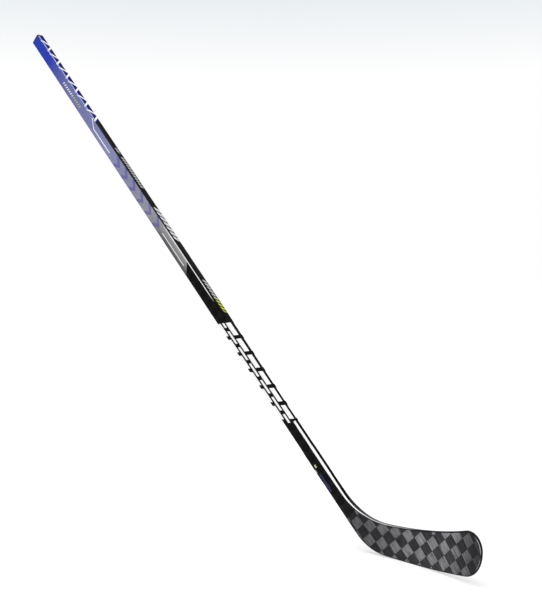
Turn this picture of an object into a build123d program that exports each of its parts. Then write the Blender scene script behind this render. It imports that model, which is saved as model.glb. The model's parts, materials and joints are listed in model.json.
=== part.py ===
from build123d import *

import os
from math import cos, radians, sin, sqrt, tan

# A left-handed one-piece composite ice hockey stick, in millimetres, in playing position.
# The blade stands on the ice (z = 0) at the origin, the middle of its rockered sole.
# +X runs along the blade to the toe, +Z is up, and the forehand face looks to -Y.
# The shaft rises from the heel towards -X at the lie angle.

# Shaft
LIE_ANGLE = 47.0
SHAFT_LENGTH = 1569.0  # along the centre line, from the ice to the butt
SHAFT_WIDTH = 30.0
SHAFT_THICKNESS = 20.0
SHAFT_CORNER = 5.0
SHAFT_WALL = 1.8
NECK_WIDTH = 26.5
NECK_THICKNESS = 15.5
NECK_CORNER = 2.2
# Distances up the centre line from the ice
NECK_START = 120.0
JOINT = 215.0
TENON_END = 275.0
FOAM_START = 285.0
FOAM_END = 345.0
TAPER_END = 360.0
TAPER_START = 627.0

# Fused joint
GLUE_GAP = 0.25
TENON_WALL = 2.4
WRAP_REACH = 35.0
WRAP_THICKNESS = 0.4

# End plug
PLUG_FLANGE = 6.0
PLUG_INSERT = 50.0
PLUG_CLEARANCE = 0.3
PLUG_WALL = 2.5
PLUG_EDGE_ROUND = 1.2
PLUG_SEAT_GAP = 0.1

# Blade outline, seen square to the shaft
CONTACT_HALF = 7.0
ROCKER_RADIUS = 650.0
HEEL_X = -95.0
HEEL_RADIUS = 97.0
THROAT_HEIGHT = 63.0
THROAT_RADIUS = 140.0
TOP_RISE_X = -50.0
TOP_RADIUS = 575.0
TOE_X = 168.0
TOE_LOW_RADIUS = 48.0
TOE_HIGH_RADIUS = 32.0

# Blade curve and thickness
CAMBER_START = -57.0
CAMBER_CURVATURE = 0.00208  # of the middle surface at the ice, per mm
CAMBER_OPENING = 3.7e-6  # loss of that curvature per mm of height, which opens the face
BLADE_THIN_START = -145.0
BLADE_HEEL_X = -50.0
BLADE_HEEL_THICKNESS = 9.5
BLADE_TOE_THICKNESS = 6.0
BLADE_ROUND = NECK_CORNER

# Blade layers
SKIN = 1.2
EDGE_STRIP = 3.5
RIB = 1.5
HEEL_SPLIT_X = -45.0
TOE_SPLIT_X = 124.0
RIB_HEIGHT = 32.0
RIB_SLOPE = 6.5

# Heights between which the blade's ruled faces are drawn, and the reach of cutting solids
LEVEL_LOW = -5.0
LEVEL_HIGH = 180.0
STATION_FIRST = -250.0
STATION_LAST = 190.0
STATION_COUNT = 23
CUT_REACH = 90.0

lie = radians(LIE_ANGLE)


def sole_height(x):
    reach = max(0.0, abs(x) - CONTACT_HALF)
    return ROCKER_RADIUS - sqrt(ROCKER_RADIUS**2 - reach**2)


def top_height(x):
    reach = max(0.0, x - TOP_RISE_X)
    return THROAT_HEIGHT + TOP_RADIUS - sqrt(TOP_RADIUS**2 - reach**2)


# Where the shaft's centre line would meet the ice, so that its lower edge runs into the heel
FOOT_X = HEEL_X + sole_height(HEEL_X) / tan(lie) + NECK_WIDTH / 2 / sin(lie)
THROAT_X = FOOT_X + NECK_WIDTH / 2 / sin(lie) - THROAT_HEIGHT / tan(lie)


def smooth_step(value):
    limited = min(1.0, max(0.0, value))
    return limited * limited * (3 - 2 * limited)


def half_thickness(x):
    neck_to_heel = smooth_step((x - BLADE_THIN_START) / (BLADE_HEEL_X - BLADE_THIN_START))
    heel_to_toe = max(0.0, (x - BLADE_HEEL_X) / (TOE_X - BLADE_HEEL_X))
    thickness = NECK_THICKNESS + (BLADE_HEEL_THICKNESS - NECK_THICKNESS) * neck_to_heel
    thickness += (BLADE_TOE_THICKNESS - BLADE_HEEL_THICKNESS) * heel_to_toe
    return thickness / 2


def camber(x, height):
    radius = 1 / (CAMBER_CURVATURE - CAMBER_OPENING * height)
    reach = max(0.0, x - CAMBER_START)
    return sqrt(radius**2 - reach**2) - radius


# The origin is on the sole's middle line, so the straight shaft stands a little to +Y of it
SHAFT_Y = -camber(0, 0)


def across_shaft(distance):
    """The plane square to the shaft, its x towards the toe and its y towards the backhand."""
    return Plane(
        origin=(FOOT_X - distance * cos(lie), SHAFT_Y, distance * sin(lie)),
        x_dir=(sin(lie), 0, cos(lie)),
        z_dir=(-cos(lie), 0, sin(lie)),
    )


def bar(distance, length, width, thickness, corner):
    """A straight rounded bar along the shaft, starting at a distance from the ice."""
    with BuildPart() as straight:
        with BuildSketch(across_shaft(distance)):
            RectangleRounded(width, thickness, corner)
        extrude(amount=length)
    return straight.part


def tapered_bar(inset, bottom, top):
    """The shaft's shape between two distances, all its faces moved in by an inset."""
    wide = (SHAFT_WIDTH - 2 * inset, SHAFT_THICKNESS - 2 * inset, SHAFT_CORNER - inset)
    narrow = (NECK_WIDTH - 2 * inset, NECK_THICKNESS - 2 * inset, NECK_CORNER - inset)
    with BuildPart() as shape:
        with BuildSketch(across_shaft(TAPER_END)):
            RectangleRounded(*narrow)
        with BuildSketch(across_shaft(TAPER_START)):
            RectangleRounded(*wide)
        loft(ruled=True)
        add(bar(bottom, TAPER_END - bottom, *narrow))
        add(bar(TAPER_START, top - TAPER_START, *wide))
    return shape.part


def face_points(side, inset, height):
    """Plan view of a surface set in from the forehand (side -1) or backhand (side 1) face."""
    step = (STATION_LAST - STATION_FIRST) / (STATION_COUNT - 1)
    stations = [STATION_FIRST + step * index for index in range(STATION_COUNT)]
    return [
        (x, SHAFT_Y + camber(x, height) + side * (half_thickness(x) - inset)) for x in stations
    ]


def layer(near, far):
    """The slab between two surfaces, each a side and the depth below that side's face."""
    with BuildPart() as slab:
        for height in (LEVEL_LOW, LEVEL_HIGH):
            with BuildSketch(Plane.XY.offset(height)):
                with BuildLine():
                    near_edge = Spline(face_points(*near, height))
                    far_edge = Spline(face_points(*far, height))
                    Line(near_edge @ 0, far_edge @ 0)
                    Line(near_edge @ 1, far_edge @ 1)
                make_face()
        loft(ruled=True)
    return slab.part


def neck_point(side):
    """The corner of the blade's outline at the joint, at the heel (-1) or throat (1) side."""
    plane = across_shaft(JOINT)
    corner = plane.origin + plane.x_dir * (side * NECK_WIDTH / 2)
    return (corner.X, corner.Z)


def blade_outline():
    """The blade and neck seen along Y: a sharp outline whose corners are then rounded."""
    heel = (HEEL_X, sole_height(HEEL_X))
    throat = (THROAT_X, THROAT_HEIGHT)
    toe_low = (TOE_X, sole_height(TOE_X))
    toe_high = (TOE_X, top_height(TOE_X))
    top_rise = (TOP_RISE_X, THROAT_HEIGHT)
    sole_middle = (HEEL_X - CONTACT_HALF) / 2
    sole_front = (TOE_X + CONTACT_HALF) / 2
    top_middle = (TOE_X + TOP_RISE_X) / 2
    with BuildSketch(Plane.XZ) as outline:
        with BuildLine():
            Line(neck_point(-1), heel)
            ThreePointArc(heel, (sole_middle, sole_height(sole_middle)), (-CONTACT_HALF, 0))
            Line((-CONTACT_HALF, 0), (CONTACT_HALF, 0))
            ThreePointArc((CONTACT_HALF, 0), (sole_front, sole_height(sole_front)), toe_low)
            Line(toe_low, toe_high)
            ThreePointArc(toe_high, (top_middle, top_height(top_middle)), top_rise)
            Line(top_rise, throat)
            Line(throat, neck_point(1))
            Line(neck_point(1), neck_point(-1))
        make_face()
        rounded_corners = (
            (heel, HEEL_RADIUS),
            (throat, THROAT_RADIUS),
            (toe_low, TOE_LOW_RADIUS),
            (toe_high, TOE_HIGH_RADIUS),
        )
        for corner, radius in rounded_corners:
            fillet(outline.vertices().sort_by_distance(corner)[0], radius)
    return outline.sketch_local


outline = blade_outline()
neck_plane = across_shaft(NECK_START)
forehand_region = layer((-1, -SKIN), (-1, SKIN))
middle_region = layer((-1, SKIN), (1, SKIN))
backhand_region = layer((1, SKIN), (1, -SKIN))

# The whole blade with its neck, rounded all round, from which the layers are cut
with BuildPart() as blade_blank:
    with BuildSketch(Plane.XZ):
        add(outline)
    extrude(amount=CUT_REACH, both=True)
    add(layer((-1, 0), (1, 0)), mode=Mode.INTERSECT)
    joint_plane = across_shaft(JOINT)
    broad_faces = blade_blank.faces().sort_by(SortBy.AREA)[-2:]
    rims = [
        edge
        for edge in broad_faces.edges()
        if abs((edge.center() - joint_plane.origin).dot(joint_plane.z_dir)) > 1
    ]
    fillet(rims, BLADE_ROUND)

with BuildPart() as core_block:
    with BuildSketch(Plane.XZ):
        add(outline)
        offset(amount=-EDGE_STRIP)
    extrude(amount=CUT_REACH, both=True)
    add(middle_region, mode=Mode.INTERSECT)
    split(bisect_by=neck_plane, keep=Keep.BOTTOM)

with BuildPart() as edge_ring:
    add(blade_blank.part)
    add(middle_region, mode=Mode.INTERSECT)
    split(bisect_by=neck_plane, keep=Keep.BOTTOM)
    add(core_block.part, mode=Mode.SUBTRACT)

# Shaft
with BuildPart() as shaft_tube:
    add(tapered_bar(0, JOINT, SHAFT_LENGTH - PLUG_FLANGE))
    add(tapered_bar(SHAFT_WALL, JOINT, SHAFT_LENGTH - PLUG_FLANGE), mode=Mode.SUBTRACT)

bore_width = NECK_WIDTH - 2 * SHAFT_WALL
bore_thickness = NECK_THICKNESS - 2 * SHAFT_WALL
bore_corner = NECK_CORNER - SHAFT_WALL

with BuildPart() as damping_foam:
    add(bar(FOAM_START, FOAM_END - FOAM_START, bore_width, bore_thickness, bore_corner))

plug_start = SHAFT_LENGTH - PLUG_FLANGE + PLUG_SEAT_GAP
insert_inset = SHAFT_WALL + PLUG_CLEARANCE
with BuildPart() as end_plug:
    with BuildSketch(across_shaft(plug_start)):
        RectangleRounded(SHAFT_WIDTH, SHAFT_THICKNESS, SHAFT_CORNER)
    extrude(amount=PLUG_FLANGE - PLUG_SEAT_GAP)
    butt_face = end_plug.faces().sort_by(Axis((0, 0, 0), (-cos(lie), 0, sin(lie))))[-1]
    fillet(butt_face.edges(), PLUG_EDGE_ROUND)
    with BuildSketch(across_shaft(plug_start)):
        RectangleRounded(
            SHAFT_WIDTH - 2 * insert_inset,
            SHAFT_THICKNESS - 2 * insert_inset,
            SHAFT_CORNER - insert_inset,
        )
    extrude(amount=-PLUG_INSERT)
    with BuildSketch(across_shaft(plug_start - PLUG_INSERT)):
        RectangleRounded(
            SHAFT_WIDTH - 2 * (insert_inset + PLUG_WALL),
            SHAFT_THICKNESS - 2 * (insert_inset + PLUG_WALL),
            PLUG_CLEARANCE,
        )
    extrude(amount=PLUG_INSERT, mode=Mode.SUBTRACT)

# Fused joint
tenon_length = TENON_END - JOINT
tenon_width = bore_width - 2 * GLUE_GAP
tenon_thickness = bore_thickness - 2 * GLUE_GAP
tenon_corner = bore_corner - GLUE_GAP
neck_core_width = tenon_width - 2 * TENON_WALL
neck_core_thickness = tenon_thickness - 2 * TENON_WALL

with BuildPart() as neck_core:
    add(
        bar(
            NECK_START,
            TENON_END - NECK_START,
            neck_core_width,
            neck_core_thickness,
            tenon_corner,
        )
    )

with BuildPart() as hosel:
    add(blade_blank.part)
    split(bisect_by=neck_plane, keep=Keep.TOP)
    add(bar(JOINT, tenon_length, tenon_width, tenon_thickness, tenon_corner))
    add(neck_core.part, mode=Mode.SUBTRACT)

with BuildPart() as tenon_adhesive:
    add(bar(JOINT, tenon_length, bore_width, bore_thickness, bore_corner))
    add(bar(JOINT, tenon_length, tenon_width, tenon_thickness, tenon_corner), mode=Mode.SUBTRACT)

with BuildPart() as hosel_overwrap:
    wrap_start = JOINT - WRAP_REACH
    add(
        bar(
            wrap_start,
            2 * WRAP_REACH,
            NECK_WIDTH + 2 * WRAP_THICKNESS,
            NECK_THICKNESS + 2 * WRAP_THICKNESS,
            NECK_CORNER + WRAP_THICKNESS,
        )
    )
    add(
        bar(wrap_start, 2 * WRAP_REACH, NECK_WIDTH, NECK_THICKNESS, NECK_CORNER),
        mode=Mode.SUBTRACT,
    )
    add(hosel.part, mode=Mode.SUBTRACT)

# Blade cores
heel_split = Plane.YZ.offset(HEEL_SPLIT_X)
toe_split = Plane.YZ.offset(TOE_SPLIT_X)
rib_slope = radians(RIB_SLOPE)
rib_plane = Plane(
    origin=(HEEL_SPLIT_X, 0, RIB_HEIGHT),
    x_dir=(cos(rib_slope), 0, sin(rib_slope)),
    z_dir=(-sin(rib_slope), 0, cos(rib_slope)),
)

with BuildPart() as heel_core:
    add(core_block.part)
    split(bisect_by=heel_split, keep=Keep.BOTTOM)

with BuildPart() as toe_core:
    add(core_block.part)
    split(bisect_by=toe_split, keep=Keep.TOP)

with BuildPart() as blade_cores:
    add(core_block.part)
    split(bisect_by=heel_split, keep=Keep.TOP)
    split(bisect_by=toe_split, keep=Keep.BOTTOM)

with BuildPart() as upper_core:
    add(blade_cores.part)
    split(bisect_by=rib_plane.offset(RIB / 2), keep=Keep.TOP)

with BuildPart() as lower_core:
    add(blade_cores.part)
    split(bisect_by=rib_plane.offset(-RIB / 2), keep=Keep.BOTTOM)

with BuildPart() as bridge_rib:
    add(blade_cores.part)
    split(bisect_by=rib_plane.offset(RIB / 2), keep=Keep.BOTTOM)
    split(bisect_by=rib_plane.offset(-RIB / 2), keep=Keep.TOP)

# Blade skins and edges
with BuildPart() as forehand_skin:
    add(blade_blank.part)
    add(forehand_region, mode=Mode.INTERSECT)
    split(bisect_by=neck_plane, keep=Keep.BOTTOM)

with BuildPart() as backhand_skin:
    add(blade_blank.part)
    add(backhand_region, mode=Mode.INTERSECT)
    split(bisect_by=neck_plane, keep=Keep.BOTTOM)

with BuildPart() as toe_edge_wrap:
    add(edge_ring.part)
    split(bisect_by=toe_split, keep=Keep.TOP)

with BuildPart() as long_edges:
    add(edge_ring.part)
    split(bisect_by=toe_split, keep=Keep.BOTTOM)

with BuildPart() as top_edge_strip:
    add(long_edges.solids().sort_by(Axis.Z)[-1])

with BuildPart() as sole_edge_strip:
    add(long_edges.solids().sort_by(Axis.Z)[0])

pieces = {
    "shaft_tube": shaft_tube,
    "end_plug": end_plug,
    "damping_foam": damping_foam,
    "hosel": hosel,
    "neck_core": neck_core,
    "tenon_adhesive": tenon_adhesive,
    "hosel_overwrap": hosel_overwrap,
    "heel_core": heel_core,
    "upper_core": upper_core,
    "lower_core": lower_core,
    "bridge_rib": bridge_rib,
    "toe_core": toe_core,
    "forehand_skin": forehand_skin,
    "backhand_skin": backhand_skin,
    "top_edge_strip": top_edge_strip,
    "sole_edge_strip": sole_edge_strip,
    "toe_edge_wrap": toe_edge_wrap,
}

os.makedirs("parts", exist_ok=True)
for name, piece in pieces.items():
    piece.part.label = name
    export_step(piece.part, f"parts/{name}.step")
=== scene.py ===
import json
import math

import bmesh
import bpy
from mathutils import Matrix, Vector, geometry


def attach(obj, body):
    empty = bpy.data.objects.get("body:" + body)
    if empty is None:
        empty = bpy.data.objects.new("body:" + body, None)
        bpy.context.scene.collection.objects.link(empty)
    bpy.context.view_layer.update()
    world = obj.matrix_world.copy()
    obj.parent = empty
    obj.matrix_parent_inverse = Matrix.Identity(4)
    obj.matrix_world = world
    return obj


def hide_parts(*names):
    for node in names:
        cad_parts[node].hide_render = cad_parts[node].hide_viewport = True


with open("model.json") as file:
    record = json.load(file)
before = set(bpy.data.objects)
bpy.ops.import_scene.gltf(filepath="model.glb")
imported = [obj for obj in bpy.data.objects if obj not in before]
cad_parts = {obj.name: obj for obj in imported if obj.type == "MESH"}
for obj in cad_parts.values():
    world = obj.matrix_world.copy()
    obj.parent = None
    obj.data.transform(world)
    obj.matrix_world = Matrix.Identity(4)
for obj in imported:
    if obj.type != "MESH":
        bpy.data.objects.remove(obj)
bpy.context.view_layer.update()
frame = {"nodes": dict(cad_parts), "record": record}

# A left-handed ice hockey stick in playing position, in metres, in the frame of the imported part:
# origin at the middle of the sole, +X to the toe, +Z up, forehand to -Y.

record = frame["record"]
nodes = frame["nodes"]
mounts = {mount["name"]: mount for mount in record["mounts"]}

MM = 0.001

# The shaft's own directions: up along the shaft, and across it towards the toe
BUTT = Vector(mounts["butt_face"]["pos_m"])
UP_SHAFT = Vector(mounts["butt_face"]["axis"]).normalized()
ACROSS = Vector((UP_SHAFT.z, 0.0, -UP_SHAFT.x))
SHAFT_Y = BUTT.y


# ---- Shader formulas


def feed(tree, socket, item):
    """Give a shader socket a formula, another node's output, a colour or a number."""
    if isinstance(item, Value):
        item = item.socket
    if isinstance(item, bpy.types.NodeSocket):
        tree.links.new(item, socket)
    elif isinstance(item, tuple):
        socket.default_value = (*item, 1.0)
    else:
        socket.default_value = item


def add_node(tree, kind, **inputs):
    """A new node with some of its inputs fed."""
    node = tree.nodes.new(kind)
    for name, item in inputs.items():
        feed(tree, node.inputs[name], item)
    return node


class Value:
    """A number in a shader tree, so that formulas can be written as in plain Python."""

    def __init__(self, tree, socket):
        self.tree = tree
        self.socket = socket

    def _math(self, operation, *others):
        node = add_node(self.tree, "ShaderNodeMath")
        node.operation = operation
        for slot, item in enumerate((self, *others)):
            feed(self.tree, node.inputs[slot], item)
        return Value(self.tree, node.outputs[0])

    def __add__(self, other):
        return self._math("ADD", other)

    def __sub__(self, other):
        return self._math("SUBTRACT", other)

    def __mul__(self, other):
        return self._math("MULTIPLY", other)

    def __truediv__(self, other):
        return self._math("DIVIDE", other)

    def __rsub__(self, other):
        return self * -1.0 + other

    def __neg__(self):
        return self * -1.0

    def abs(self):
        return self._math("ABSOLUTE")

    def floor(self):
        return self._math("FLOOR")

    def fract(self):
        return self._math("FRACT")

    def ping_pong(self, size):
        return self._math("PINGPONG", size)

    def smaller(self, other):
        return self._math("MINIMUM", other)

    def larger(self, other):
        return self._math("MAXIMUM", other)

    def asin(self):
        return self._math("ARCSINE")

    def sqrt(self):
        return self._math("SQRT")

    def clamp(self):
        return self.larger(0.0).smaller(1.0)

    def above(self, edge, soft):
        """0 below the edge and 1 above it, over a soft width."""
        return ((self - edge) / soft + 0.5).clamp()

    def between(self, low, high, soft):
        return self.above(low, soft) * (-self).above(-high, soft)

    def within(self, half, soft):
        """1 where the value is less than half from zero and 0 outside, over a soft width."""
        return (-self.abs()).above(-half, soft)


class Paint:
    """Builds one material's node tree, and holds its shader and coordinates."""

    def __init__(self, name):
        self.material = bpy.data.materials.new(name)
        self.material.use_nodes = True
        self.tree = self.material.node_tree
        self.shader = self.tree.nodes["Principled BSDF"]
        coordinates = add_node(self.tree, "ShaderNodeTexCoord")
        self.place = coordinates.outputs["Object"]

    def along(self, direction, origin=(0.0, 0.0, 0.0)):
        """Distance in metres from an origin along a direction."""
        node = add_node(self.tree, "ShaderNodeVectorMath")
        node.operation = "DOT_PRODUCT"
        self.tree.links.new(self.place, node.inputs[0])
        node.inputs[1].default_value = direction
        return Value(self.tree, node.outputs["Value"]) - Vector(direction).dot(Vector(origin))

    def combine(self, x, y, z):
        return add_node(self.tree, "ShaderNodeCombineXYZ", X=x, Y=y, Z=z).outputs[0]

    def noise(self, scale, detail=2.0, vector=None, roughness=0.5):
        inputs = {"Scale": scale, "Detail": detail, "Roughness": roughness}
        node = add_node(self.tree, "ShaderNodeTexNoise", Vector=vector or self.place, **inputs)
        return Value(self.tree, node.outputs["Fac"])

    def random(self, vector):
        node = add_node(self.tree, "ShaderNodeTexWhiteNoise", Vector=vector)
        return Value(self.tree, node.outputs["Value"])

    def mix(self, mask, under, over):
        """The colour under, with the colour over laid on it where the mask is 1."""
        node = add_node(self.tree, "ShaderNodeMix")
        node.data_type = "RGBA"
        feed(self.tree, node.inputs["Factor"], mask)
        for socket_name, colour in (("A", under), ("B", over)):
            socket = [s for s in node.inputs if s.name == socket_name and s.type == "RGBA"][0]
            feed(self.tree, socket, colour)
        return [s for s in node.outputs if s.type == "RGBA"][0]

    def choose(self, mask, under, over):
        """The value under where the mask is 0, and the value over where it is 1."""
        return under + (over - under) * mask

    def ramp(self, value, stops):
        node = add_node(self.tree, "ShaderNodeValToRGB", Fac=value)
        elements = node.color_ramp.elements
        while len(elements) < len(stops):
            elements.new(0.5)
        for element, (position, colour) in zip(elements, stops):
            element.position = position
            element.color = (*colour, 1.0)
        return node.outputs["Color"]

    def attribute(self, name):
        node = add_node(self.tree, "ShaderNodeAttribute")
        node.attribute_name = name
        return Value(self.tree, node.outputs["Fac"])

    def colour(self, source):
        feed(self.tree, self.shader.inputs["Base Color"], source)

    def rough(self, value):
        feed(self.tree, self.shader.inputs["Roughness"], value)

    def gloss(self, specular, coat=0.0, coat_roughness=0.0):
        self.shader.inputs["Specular IOR Level"].default_value = specular
        if coat:
            self.shader.inputs["Coat Weight"].default_value = coat
            self.shader.inputs["Coat Roughness"].default_value = coat_roughness

    def bump(self, height, distance, strength=1.0):
        inputs = {"Strength": strength, "Distance": distance, "Height": height}
        node = add_node(self.tree, "ShaderNodeBump", **inputs)
        feed(self.tree, self.shader.inputs["Normal"], node.outputs["Normal"])


def linear(red, green, blue):
    """A colour given in screen values from 0 to 255, as the shaders take it."""
    return tuple((channel / 255) ** 2.2 for channel in (red, green, blue))


# ---- Sizes of the stick, as in the CAD

SHAFT_LENGTH = 1569 * MM
SHAFT_SECTION = (30 * MM, 20 * MM, 5 * MM)  # width, thickness and corner radius
NECK_SECTION = (26.5 * MM, 15.5 * MM, 2.2 * MM)
SHAFT_WALL = 1.8 * MM
MIN_CORNER = 0.4 * MM
MOUTH_BREAK = 0.3 * MM
NECK_START = 120 * MM
JOINT = 215 * MM
TAPER_END = 360 * MM
TAPER_START = 627 * MM

PLUG_FLANGE = 6 * MM
PLUG_INSERT = 50 * MM
PLUG_CLEARANCE = 0.3 * MM
PLUG_WALL = 2.5 * MM
PLUG_SEAT_GAP = 0.1 * MM
PLUG_SEAM_BREAK = 0.35 * MM
PLUG_EDGE_ROUND = 1.2 * MM
PLUG_ROUND_STEPS = 6
LEAD_IN_LENGTH = 0.9 * MM
LEAD_IN_DEPTH = 0.6 * MM
GROOVES = 5
GROOVE_WIDTH = 3 * MM
GROOVE_DEPTH = 0.5 * MM
# The dish in the plug's face: how far in from the shaft's outline, and how deep
DISH = ((3.4 * MM, 0.0), (3.8 * MM, 0.3 * MM), (4.6 * MM, 0.6 * MM), (7.5 * MM, 0.6 * MM))

CONTACT_HALF = 7 * MM
ROCKER_RADIUS = 650 * MM
HEEL_RADIUS = 97 * MM
THROAT_HEIGHT = 63 * MM
THROAT_RADIUS = 140 * MM
TOP_RISE_X = -50 * MM
TOP_RADIUS = 575 * MM
TOE_X = 168 * MM
TOE_LOW_RADIUS = 48 * MM
TOE_HIGH_RADIUS = 32 * MM
TOE_SPLIT_X = 124 * MM

CAMBER_START = -57 * MM
CAMBER_CURVATURE = 2.08  # per metre
CAMBER_OPENING = 3.7
BLADE_THIN_START = -145 * MM
BLADE_HEEL_X = -50 * MM
BLADE_HEEL_THICKNESS = 9.5 * MM
BLADE_TOE_THICKNESS = 6 * MM
BLADE_ROUND = 2.2 * MM
SKIN = 1.2 * MM
EDGE_STRIP = 3.5 * MM

FOOT = BUTT - UP_SHAFT * SHAFT_LENGTH
LIE = math.atan2(UP_SHAFT.z, -UP_SHAFT.x)


def camber(x, height):
    radius = 1 / (CAMBER_CURVATURE - CAMBER_OPENING * height)
    reach = max(0.0, x - CAMBER_START)
    return math.sqrt(radius**2 - reach**2) - radius


def smooth_step(value):
    limited = min(1.0, max(0.0, value))
    return limited * limited * (3 - 2 * limited)


def half_thickness(x):
    neck_to_heel = smooth_step((x - BLADE_THIN_START) / (BLADE_HEEL_X - BLADE_THIN_START))
    heel_to_toe = max(0.0, (x - BLADE_HEEL_X) / (TOE_X - BLADE_HEEL_X))
    thickness = NECK_SECTION[1] + (BLADE_HEEL_THICKNESS - NECK_SECTION[1]) * neck_to_heel
    thickness += (BLADE_TOE_THICKNESS - BLADE_HEEL_THICKNESS) * heel_to_toe
    return thickness / 2


def blade_point(place, side, depth):
    """A point of the blade, from its place in side view, its face and the depth below it."""
    x, z = place
    return Vector((x, SHAFT_Y + camber(x, z) + side * (half_thickness(x) - depth), z))


def face_normal(place, side):
    """The outward normal of the forehand (side -1) or backhand (side 1) face."""
    x, z = place
    step = 0.1 * MM
    middle = blade_point((x, z), side, 0).y
    slope_x = (blade_point((x + step, z), side, 0).y - middle) / step
    slope_z = (blade_point((x, z + step), side, 0).y - middle) / step
    return (Vector((-slope_x, 1.0, -slope_z)) * side).normalized()


# ---- Mesh building


def add_object(name, data):
    """A new object, linked into the scene's own collection."""
    thing = bpy.data.objects.new(name, data)
    bpy.context.scene.collection.objects.link(thing)
    return thing


class Shell:
    """Collects points and faces, and turns each face outwards by the normals it is given."""

    def __init__(self, name):
        self.name = name
        self.points = []
        self.faces = []
        self.normals = []

    def point(self, place):
        self.points.append(place)
        return len(self.points) - 1

    def face(self, corners, normals):
        places = [self.points[corner] for corner in corners]
        turn = sum((a.cross(b) for a, b in zip(places, places[1:] + places[:1])), Vector())
        if turn.dot(sum(normals, Vector())) < 0:
            corners = corners[::-1]
            normals = normals[::-1]
        self.faces.append(corners)
        self.normals.extend(normals)

    def flat_face(self, corners, normal):
        self.face(corners, [normal] * len(corners))

    def build(self, paint, body, slot):
        mesh = bpy.data.meshes.new(self.name)
        mesh.from_pydata(self.points, [], self.faces)
        mesh.shade_smooth()
        mesh.normals_split_custom_set(self.normals)
        mesh.materials.append(paint)
        piece = add_object(self.name, mesh)
        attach(piece, body)
        return piece


CORNER_STEPS = 10


def section(width, thickness, corner):
    """A rounded rectangle as places and outward normals, both across the shaft and along Y."""
    outline = []
    for quarter in range(4):
        middle = math.radians(45 + 90 * quarter)
        across = math.copysign(width / 2 - corner, math.cos(middle))
        deep = math.copysign(thickness / 2 - corner, math.sin(middle))
        for step in range(CORNER_STEPS + 1):
            angle = math.radians(90 * quarter + 90 * step / CORNER_STEPS)
            normal = (math.cos(angle), math.sin(angle))
            outline.append(((across + corner * normal[0], deep + corner * normal[1]), normal))
    return outline


def inset(size, amount):
    """A section moved in by an amount on all sides."""
    width, thickness, corner = size
    return (width - 2 * amount, thickness - 2 * amount, max(MIN_CORNER, corner - amount))


def on_shaft(distance, across, deep):
    return FOOT + UP_SHAFT * distance + ACROSS * across + Vector((0, deep, 0))


SMOOTH_LIMIT = math.cos(math.radians(35))


def loft(shell, rings, closed):
    """Bands between rings of (distance up the shaft, section size), smooth where they bend little."""
    outlines = [section(*size) for distance, size in rings]
    count = len(outlines[0])
    index = []
    for (distance, size), outline in zip(rings, outlines):
        index.append([shell.point(on_shaft(distance, *place)) for place, normal in outline])
    bands = len(rings) if closed else len(rings) - 1

    def band_normal(band, corner):
        band %= len(rings)
        after = (band + 1) % len(rings)
        along = shell.points[index[after][corner]] - shell.points[index[band][corner]]
        across, deep = outlines[band][corner][1]
        around = ACROSS * -deep + Vector((0, across, 0))
        return around.cross(along).normalized()

    def corner_normal(band, other, corner):
        own = band_normal(band, corner)
        if not closed and not 0 <= other < bands:
            return own
        neighbour = band_normal(other, corner)
        if own.dot(neighbour) < SMOOTH_LIMIT:
            return own
        return (own + neighbour).normalized()

    for band in range(bands):
        after = (band + 1) % len(rings)
        for corner in range(count):
            following = (corner + 1) % count
            corners = [index[band][corner], index[band][following]]
            corners += [index[after][following], index[after][corner]]
            turns = ((-1, corner), (-1, following), (1, following), (1, corner))
            normals = [corner_normal(band, band + turn, place) for turn, place in turns]
            shell.face(corners, normals)
    return index


# ---- Shaft and end plug


def make_shaft(paint):
    top = SHAFT_LENGTH - PLUG_FLANGE
    outside = [
        (JOINT, NECK_SECTION),
        (TAPER_END, NECK_SECTION),
        (TAPER_START, SHAFT_SECTION),
        (top - MOUTH_BREAK, SHAFT_SECTION),
        (top, inset(SHAFT_SECTION, MOUTH_BREAK)),
    ]
    inside = [
        (top, inset(SHAFT_SECTION, SHAFT_WALL)),
        (TAPER_START, inset(SHAFT_SECTION, SHAFT_WALL)),
        (TAPER_END, inset(NECK_SECTION, SHAFT_WALL)),
        (JOINT, inset(NECK_SECTION, SHAFT_WALL)),
    ]
    shell = Shell("shaft_laminate_tube")
    loft(shell, outside + inside, closed=True)
    piece = shell.build(paint, "stick", "shaft_laminate")
    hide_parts("shaft_tube")


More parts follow.
